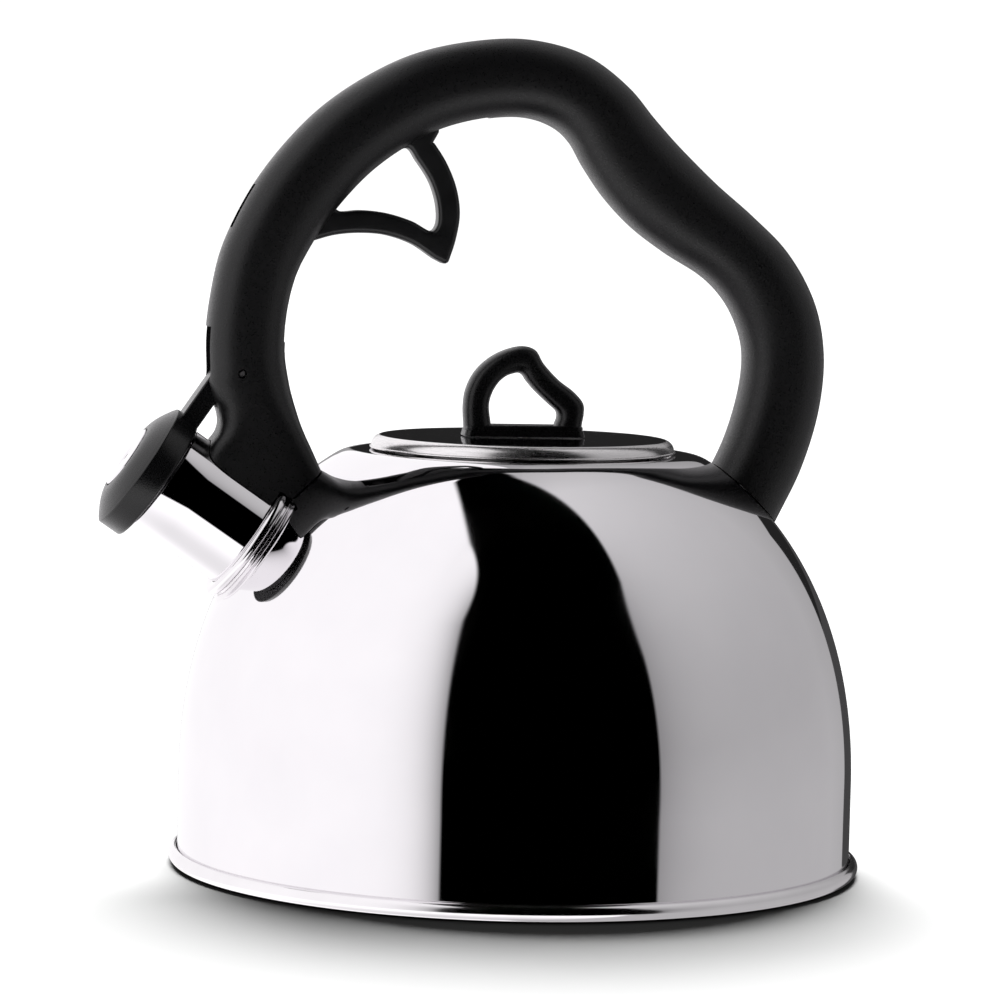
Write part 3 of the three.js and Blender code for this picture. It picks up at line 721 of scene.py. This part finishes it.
pivot_line = math.atan2(CAP_PIVOT[1] - TRIGGER_PIVOT[1], CAP_PIVOT[0] - TRIGGER_PIVOT[0])
peg_angle = pivot_line - TRIGGER_TRAVEL / 2
PEG = (TRIGGER_PIVOT[0] + PEG_REACH * math.cos(peg_angle),
       TRIGGER_PIVOT[1] + PEG_REACH * math.sin(peg_angle))


def bar_outline(start, end, radius):
    """The outline of a flat bar with round ends."""
    steps = 14
    angle = math.atan2(end[1] - start[1], end[0] - start[0])
    made = []
    for centre, first in ((start, math.pi / 2), (end, -math.pi / 2)):
        for k in range(steps + 1):
            a = angle + first + math.pi * k / steps
            made.append((centre[0] + radius * math.cos(a), centre[1] + radius * math.sin(a)))
    return made


shank = TRIGGER_HALF - 0.2
shaped(trigger, "UNION", [
    cross_rod("hub", TRIGGER_PIVOT, HUB_R, -TRIGGER_HALF, TRIGGER_HALF),
    slab("neck", bar_outline(TRIGGER_PIVOT, (-66, 193.5), LEVER_HALF), -TRIGGER_HALF, TRIGGER_HALF),
    slab("arm", bar_outline(TRIGGER_PIVOT, PEG, LEVER_HALF), -TRIGGER_HALF, -TRIGGER_HALF + shank),
    cross_rod("peg", PEG, PEG_R, -TRIGGER_HALF + 1, TRIGGER_HALF),
])
shaped(trigger, "DIFFERENCE", [cross_rod("cutter", TRIGGER_PIVOT, PIN_R + GAP, -PIN_CUT, PIN_CUT)])
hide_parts("trigger")
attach(trigger, "trigger_lever")


# ---- Spout cap: a round phenolic cap on an arm, one moulding with its hub and fork ----
# The crown is turned smooth by its mould and takes a soft sheen; the arm comes out of the
# pocket in the front leg and swings the cap clear of the spout when the trigger is pulled.
satin_phenolic = grained_phenolic("satin_moulded_phenolic", 0.5, 0.04, 0.2, 0.32, "#0A0A0B", "#161618")
CAP_DROP = 1.3
CAP_R = 20.4
CAP_FACE = 30.2
CAP_RIM = 37.6
CAP_TOP = 42
WHISTLE_R = 14.3
ARM_HALF = 5.5
ARM_TOP = 36.2
cap_frame = spout_frame @ Matrix.Translation((-CAP_DROP * MM, 0, 0))


def beside_spout(along, up):
    """X and Z of a point in the spout's side view, from lengths along and above its axis."""
    place = spout_frame @ (Vector((up, 0, along)) * MM)
    return (place.x / MM, place.z / MM)


CROWN_R = 10.6
crown = []
for k in range(15):
    f = k / 14
    crown.append((CAP_R - 0.3 + (CROWN_R - CAP_R + 0.3) * f,
                  CAP_RIM + 0.3 + (CAP_TOP - CAP_RIM - 0.3) * math.sin(f * math.pi / 2.15)))
cap = turned("spout_cap", [
    (WHISTLE_R + GAP, CAP_FACE), (CAP_R - 1, CAP_FACE), *arc(CAP_R - 1, CAP_FACE + 1, 1, -80, 0, 6),
    (CAP_R, CAP_RIM - 0.3), *arc(CAP_R - 0.6, CAP_RIM - 0.3, 0.6, 10, 70, 4), *crown[1:],
    (10.3, CAP_TOP - 0.35), (10.3, CAP_TOP - 1.5), (8, CAP_TOP - 1.5), (8, CAP_TOP - 3.3),
    (WHISTLE_R + GAP, CAP_TOP - 3.3),
], satin_phenolic, cap_frame, 160)
arm = round_edged("arm", [[
    beside_spout(CAP_FACE, CAP_R - 4 - CAP_DROP), beside_spout(ARM_TOP, CAP_R - 4 - CAP_DROP),
    beside_spout(ARM_TOP, 36), beside_spout(ARM_TOP - 1, 38.6), beside_spout(ARM_TOP - 3, 40.5),
    beside_spout(CAP_FACE, 40.5),
]], ARM_HALF, 0.7, None)
shaped(arm, "DIFFERENCE", [cross_rod("room", CAP_PIVOT, 4.9, -ARM_HALF - 1, -1.2)])

reach = math.dist(PEG, CAP_PIVOT)


def toward_peg(length):
    """A point on the line from the cap's pivot to the peg."""
    return tuple(CAP_PIVOT[k] + (PEG[k] - CAP_PIVOT[k]) * length / reach for k in (0, 1))


fork = slab("fork", bar_outline(CAP_PIVOT, toward_peg(13), 4.1), 0.2, 0.2 + shank)
notch = slab("notch", bar_outline(toward_peg(reach - 1.4), toward_peg(24), PEG_R + 0.45), -4, 8)
shaped(fork, "DIFFERENCE", [notch])
shaped(cap, "UNION", [
    arm, fork, cross_rod("hub", CAP_PIVOT, HUB_R, -1.2, ARM_HALF),
    cross_rod("boss", CAP_PIVOT, 2.6, -ARM_HALF, 0),
])
shaped(cap, "DIFFERENCE", [cross_rod("cutter", CAP_PIVOT, PIN_R + GAP, -PIN_CUT, PIN_CUT)])
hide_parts("cap_lever")
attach(cap, "spout_cap")

# A round insert of polished steel closes the crown. The steam blows out through its middle.
cap_insert = turned("crown_insert", [
    (1.4, CAP_TOP - 1.2), (9.9, CAP_TOP - 1.2), (9.9, CAP_TOP), *arc(9.6, CAP_TOP, 0.3, 0, 90, 4),
    (8, CAP_TOP + 0.32), (5, CAP_TOP + 0.34), (1.7, CAP_TOP + 0.35), (1.4, CAP_TOP + 0.1),
], mirror_steel, cap_frame, 128)
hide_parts("cap_insert")
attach(cap_insert, "spout_cap")

# The whistle is a drawn steel can pressed into the cap, with a pierced plate behind its face.
can_face = CAP_TOP - 3.3 - GAP
whistle_can = turned("whistle_cup", [
    (1.6, can_face - 0.6), (WHISTLE_R - 1, can_face - 0.6), (WHISTLE_R - 0.6, can_face - 1),
    (WHISTLE_R - 0.6, CAP_FACE - 3), (WHISTLE_R, CAP_FACE - 3), (WHISTLE_R, can_face - 0.4),
    (WHISTLE_R - 0.4, can_face), (1.6, can_face),
], mill_steel, cap_frame, 128)
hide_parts("whistle_can")
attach(whistle_can, "spout_cap")

plate_at = CAP_FACE + 2.6
whistle_plate = turned("pierced_plate", [
    (1.6, plate_at), (1.9, plate_at - 0.1), (6, plate_at), (WHISTLE_R - 1.2, plate_at),
    (WHISTLE_R - 0.9, plate_at + 0.3), (WHISTLE_R - 0.9, plate_at + 0.6), (1.6, plate_at + 0.6),
], mill_steel, cap_frame, 128)
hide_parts("whistle_plate")
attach(whistle_plate, "spout_cap")


# ---- Lid: a pressed disc of the same mirror-buffed sheet with a rounded shoulder ----
# Its edge is turned under in a fine hem, and is only drum-polished, so it blurs what it shows.
# The skirt that pushes into the neck is spot-welded beneath, round the knob's screw.
def drum_polished():
    material, tree, shader, place = new_material("drum_polished_stainless")
    lay = node(tree, "ShaderNodeMapping", {"Vector": place, "Scale": (1, 1, 14)})
    lines = node(tree, "ShaderNodeTexNoise", {
        "Vector": lay.outputs["Vector"], "Scale": per_mm(5), "Detail": 4,
    })
    rough = node(tree, "ShaderNodeMapRange", {"Value": lines.outputs["Fac"], "To Min": 0.16, "To Max": 0.34})
    tint = node(tree, "ShaderNodeMix", {
        "Factor": lines.outputs["Fac"], "A": linear("#F0EEEE"), "B": linear("#DCDADB"),
    }, data_type="RGBA")
    tree.links.new(tint.outputs["Result"], shader.inputs["Base Color"])
    tree.links.new(rough.outputs["Result"], shader.inputs["Roughness"])
    shader.inputs["Metallic"].default_value = 1
    return material


edge_steel = drum_polished()
LID_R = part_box("lid_disc")[1].x / MM
LID_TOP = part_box("lid_disc")[1].z / MM
LID_ROUND = 3.2
LID_LOW = LEDGE_Z + 0.4
lid = turned("lid_pressing", [
    (2.5, LID_TOP - WALL), (LID_R - 4.2, LID_TOP - WALL),
    *arc(LID_R - 4.2, LID_TOP - 3.8, 2.8, 80, 10, 8),
    (LID_R - 0.4 - WALL, LID_LOW), (LID_R - 0.25, LID_LOW), (LID_R, LID_LOW + 0.2), (LID_R, LID_LOW + 0.45),
    (LID_R - 0.3, LID_LOW + 0.65), (LID_R - 0.4, LID_TOP - LID_ROUND),
    *arc(LID_R - 0.4 - LID_ROUND, LID_TOP - LID_ROUND, LID_ROUND, 0, 90, 20)[1:],
    (38, LID_TOP), (28, LID_TOP), (2.5, LID_TOP),
], mirror_steel)
lid.data.materials.append(edge_steel)
for face in lid.data.polygons:
    face.material_index = 1 if face.center.z > LID_LOW * MM and face.normal.z < 0.97 else 0
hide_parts("lid_disc")
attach(lid, "lid")

skirt_top = LID_TOP - WALL - GAP
skirt_r = NECK_R - 1
skirt = turned("neck_skirt", [
    (skirt_r - 4, skirt_top - WALL), (skirt_r - WALL, skirt_top - WALL), (skirt_r - WALL, LEDGE_Z - 9),
    (skirt_r - 0.3, LEDGE_Z - 9.4), (skirt_r, LEDGE_Z - 9.1), (skirt_r, skirt_top), (skirt_r - 4, skirt_top),
], mill_steel, steps=192)
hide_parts("lid_skirt")
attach(skirt, "lid")


# ---- Knob: a phenolic loop whose outline echoes the big handle, on a foot that spans the lid ----
# The same grained moulding as the handle, but finer. The foot is a little wider below a thin
# seam, where the mould's two halves met.
knob_phenolic = grained_phenolic("fine_grained_phenolic", 0.5, 0.08, 0.2, 0.42, "#070708", "#151517")
KNOB_HALF = 5
KNOB_LOOP = [
    (-17.9, 131.6, -9.5, 131.6), (-18.3, 135.5, -10.2, 135.5), (-18.5, 140, -10.8, 140.2),
    (-17.9, 144.8, -10.1, 143.7), (-15.4, 150.2, -8.3, 147), (-11, 154.6, -5.9, 149.2),
    (-5.6, 157.4, -3.6, 150.1), (-0.3, 158.4, -1.9, 150.3), (3.1, 157.3, -0.6, 149.6),
    (5.6, 153.4, 0.6, 147.9), (10.5, 148.3, 3.6, 144.6), (15.2, 144.8, 7.6, 141),
    (18.2, 141.2, 10, 138.8), (18.4, 138.2, 10.3, 136.9), (17.9, 135, 9.6, 134.8),
    (17.7, 131.6, 9.2, 131.6),
]
knob = lofted("knob_loop", through([(*pair, 2.7) for pair in KNOB_LOOP], 8), KNOB_HALF, knob_phenolic, 64)


def rounded_block(name, levels, corner):
    """A block of stacked rounded rectangles: height, half length and half width of each."""
    points = []
    around = 48
    for z, long, wide in levels:
        for k in range(around):
            a = math.tau * (k + 0.5) / around
            x = (long - corner) * math.copysign(1, math.cos(a)) + corner * math.cos(a)
            y = (wide - corner) * math.copysign(1, math.sin(a)) + corner * math.sin(a)
            points.append((x * MM, y * MM, z * MM))
    faces = [list(range(around)), list(range(len(points) - around, len(points)))]
    for r in range(len(levels) - 1):
        for k in range(around):
            j = (k + 1) % around
            faces.append((r * around + k, r * around + j, (r + 1) * around + j, (r + 1) * around + k))
    return finished(name, mesh_from(name, points, faces), None)


FOOT_LOW = LID_TOP + GAP
foot = rounded_block("foot", [
    (FOOT_LOW, 18.4, 5.3), (FOOT_LOW + 0.2, 18.5, 5.4), (133, 18.1, 5.3), (133.15, 17.7, 5.05),
    (133.35, 17.7, 5.05), (133.5, 17.9, 5.15), (134.2, 17.8, 5.1), (134.55, 17.4, 4.6),
], 2.2)
shaped(knob, "UNION", [foot])
shaped(knob, "DIFFERENCE", [rod("cutter", 1.7, LID_TOP - 1, LID_TOP + 3.2, Matrix.Identity(4), 32),
                            slab("cutter", [(-25, 125), (25, 125), (25, FOOT_LOW), (-25, FOOT_LOW)], -9, 9)])
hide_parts("lid_knob")
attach(knob, "lid")


# ---- Studio: a white floor and a surround of white, grey and black panels ----
# Polished steel shows what stands round it: a black panel in front that runs on overhead, a
# white one to the left and behind, a grey one to the right. They show only in the steel.
CAMERA_AZIMUTH = math.radians(-100)
STEEL = 0.85
BLACK_LEFT = -24
BLACK_RIGHT = 49.5
TABLE_EDGE = -22


def soft_step(degrees, blur=1.0):
    """0 well before an edge, 1 well past it, and a ramp of this many degrees between."""
    return np.clip(0.5 + degrees / blur, 0, 1)


def over(degrees):
    """How far a direction is past an angle, and 0 before it."""
    return np.maximum(degrees, 0)


def surround_brightness(q):
    """How bright the steel looks where it faces this direction, from 0 to above 1.
    Beta is the turn from the camera, to the right, and up is the height, both in degrees."""
    beta = (np.degrees(np.arctan2(q[:, 1], q[:, 0]) - CAMERA_AZIMUTH) + 180) % 360 - 180
    up = np.degrees(np.arcsin(np.clip(q[:, 2], -1, 1)))

    # The white panel fades in past the black one's edge, and is even overhead.
    white = 0.985 - 0.7 * np.exp(-over(BLACK_LEFT - beta) / 7) - 0.0005 * over(-beta - 100)
    white += soft_step(up - 52, 24) * (np.maximum(white, 0.93) - white)

    # The grey panel does the same, and grows lighter upwards and just above the table.
    grey = 0.4 - 0.16 * np.exp(-over(beta - BLACK_RIGHT) / 9) - 0.003 * over(beta - 136)
    grey += 0.22 * (over(up - 5) / 70) ** 1.5 + 0.04 * np.clip((5 - up) / 14, 0, 1)

    # The black panel's two edges: upright lines in front, and straight lines on the ceiling.
    rise = np.maximum(q[:, 2], 0.05)
    east = q[:, 0] / rise
    north = q[:, 1] / rise
    left_line = -0.271 + 0.176 * north
    right_line = 0.215 - 0.612 * north
    upright = np.cos(np.radians(up))
    ceiling = np.degrees(rise ** 2)
    overhead_left = soft_step(up - 55, 26)
    overhead_right = soft_step(up - 40, 22)
    past_left = soft_step((1 - overhead_left) * (beta - BLACK_LEFT) * upright
                          + overhead_left * (east - left_line) * ceiling)
    past_right = soft_step((1 - overhead_right) * (BLACK_RIGHT - beta) * upright
                           + overhead_right * (right_line - east) * ceiling)
    right_side = np.where(up < 57, (beta > 13) | (beta < -176), east > (left_line + right_line) / 2)
    value = np.where(right_side, grey, white)

    # Behind the kettle: a dark doorway with a bright gap, and a dark strip above the horizon.
    value = np.where((beta > 152) & (up < 6), 0.05, value)
    value = np.where((beta > 178) & (up < 3), 1.1, value)
    value = np.where((beta < -170.5) & (up < 8), 0.3, value)
    value = np.where(((beta > 152) | (beta < -176)) & (up >= 3) & (up < 14), 0.015, value)
    value *= 1 - past_left * past_right

    # Below the horizon the steel shows a painted reflection of the table on this sphere, as the floor itself
    # is hidden from the steel: it darkens straight down as painted shade of the table round the kettle, and
    # is grey to the right.
    below = np.where(beta > 40, 0.45, np.interp(up, [-90, -60, -40], [0.6, 0.85, 1.15]))
    return value + soft_step(TABLE_EDGE - up, 2) * (below - value)


def surround():
    """A big sphere painted with the panels. It is dark to rays that come by way of a matt surface."""
    radius = 12.0
    columns, rows = 720, 360
    points = []
    for r in range(rows + 1):
        e = math.pi * (r / rows - 0.5)
        for c in range(columns):
            a = math.tau * c / columns
            points.append((math.cos(e) * math.cos(a), math.cos(e) * math.sin(a), math.sin(e)))
    faces = [(r * columns + c, r * columns + (c + 1) % columns, (r + 1) * columns + (c + 1) % columns,
              (r + 1) * columns + c) for r in range(rows) for c in range(columns)]
    mesh = bpy.data.meshes.new("surround")
    mesh.from_pydata([tuple(radius * v for v in p) for p in points], [], faces)
    value = surround_brightness(np.array(points)) / STEEL
    colours = np.ones((len(points), 4))
    colours[:, :3] = value[:, None] * np.array([[1.0, 0.985, 1.0]])
    layer = mesh.color_attributes.new("panels", "FLOAT_COLOR", "POINT")
    layer.data.foreach_set("color", colours.astype(np.float32).ravel())
    material = bpy.data.materials.new("painted_studio_panels")
    material.use_nodes = True
    tree = material.node_tree
    tree.nodes.clear()
    paint = node(tree, "ShaderNodeAttribute", attribute_name="panels")
    ray = node(tree, "ShaderNodeLightPath")
    direct = node(tree, "ShaderNodeMath", {0: ray.outputs["Diffuse Depth"], 1: 0.5}, operation="LESS_THAN")
    glow = node(tree, "ShaderNodeEmission", {
        "Color": paint.outputs["Color"], "Strength": direct.outputs["Value"],
    })
    node(tree, "ShaderNodeOutputMaterial", {"Surface": glow.outputs["Emission"]})
    material.cycles.emission_sampling = "NONE"
    made = finished("surround", mesh, material)
    for kind in ("camera", "diffuse", "transmission", "volume_scatter", "shadow"):
        setattr(made, f"visible_{kind}", False)
    return made


def floor_sheet():
    half = 6.0
    below_base = 0.02 * MM
    mesh = mesh_from("floor", [(-half, -half, 0), (half, -half, 0), (half, half, 0), (-half, half, 0)],
                     [(0, 1, 2, 3)])
    material, tree, shader, place = new_material("matt_white_floor")
    mottle = node(tree, "ShaderNodeTexNoise", {"Vector": place, "Scale": per_mm(400)})
    tint = node(tree, "ShaderNodeMix", {
        "Factor": mottle.outputs["Fac"], "A": linear("#9C9C9C"), "B": linear("#A3A3A3"),
    }, data_type="RGBA")
    tree.links.new(tint.outputs["Result"], shader.inputs["Base Color"])
    shader.inputs["Roughness"].default_value = 1
    shader.inputs["Specular IOR Level"].default_value = 0
    made = finished("floor", mesh, material)
    made.visible_glossy = False
    made.location.z = -below_base
    return made


white_floor = floor_sheet()
surround()

world = bpy.data.worlds.new("studio")
bpy.context.scene.world = world
world.use_nodes = True
sky = world.node_tree
sky.nodes.clear()
seen = node(sky, "ShaderNodeLightPath")
level = node(sky, "ShaderNodeMapRange", {
    "Value": seen.outputs["Is Camera Ray"], "To Min": 0.09, "To Max": 1.1,
})
backdrop = node(sky, "ShaderNodeBackground", {"Color": (1, 1, 1, 1), "Strength": level.outputs["Result"]})
node(sky, "ShaderNodeOutputWorld", {"Surface": backdrop.outputs["Background"]})


def soft_sun(name, direction, strength, spread):
    """A broad soft light from a direction, which the steel doesn't show."""
    light = bpy.data.lights.new(name, "SUN")
    light.energy = strength
    light.angle = math.radians(spread)
    holder = bpy.data.objects.new(name, light)
    bpy.context.scene.collection.objects.link(holder)
    holder.rotation_euler = Vector(direction).to_track_quat("Z", "Y").to_euler()
    holder.visible_glossy = False
    return holder


# The strong light from behind falls on the floor alone, and a weak one on everything else.
floor_light = soft_sun("floor_light", (0.05, 1.0, 1.25), 15, 44)
floor_only = bpy.data.collections.new("floor_only")
floor_only.objects.link(white_floor)
floor_light.light_linking.receiver_collection = floor_only
soft_light = soft_sun("soft_light", (-0.3, 0.2, 1.0), 1.6, 60)
all_but_floor = bpy.data.collections.new("all_but_floor")
all_but_floor.objects.link(white_floor)
soft_light.light_linking.receiver_collection = all_but_floor
all_but_floor.collection_objects[0].light_linking.link_state = "EXCLUDE"


# ---- Camera: a long lens a little above the lid's height ----
# It stands about 1.35 m off, a little towards the spout's side, and looks down by less than five
# degrees.
LENS = 160.83
CAMERA_AT = (-0.2344, -1.3295, 0.22007)
HEADING = math.radians(-9.7264)
LOOK_DOWN = math.radians(4.5956)
ROLL = math.radians(1.3545)

camera_data = bpy.data.cameras.new("camera")
camera_data.sensor_width = 36
camera_data.lens = LENS
camera = bpy.data.objects.new("camera", camera_data)
bpy.context.scene.collection.objects.link(camera)
aim = Matrix.Rotation(HEADING, 4, "Z") @ Matrix.Rotation(math.pi / 2 - LOOK_DOWN, 4, "X")
camera.matrix_world = Matrix.Translation(CAMERA_AT) @ aim @ Matrix.Rotation(ROLL, 4, "Z")
bpy.context.scene.camera = camera
bpy.context.scene.view_settings.view_transform = "Standard"
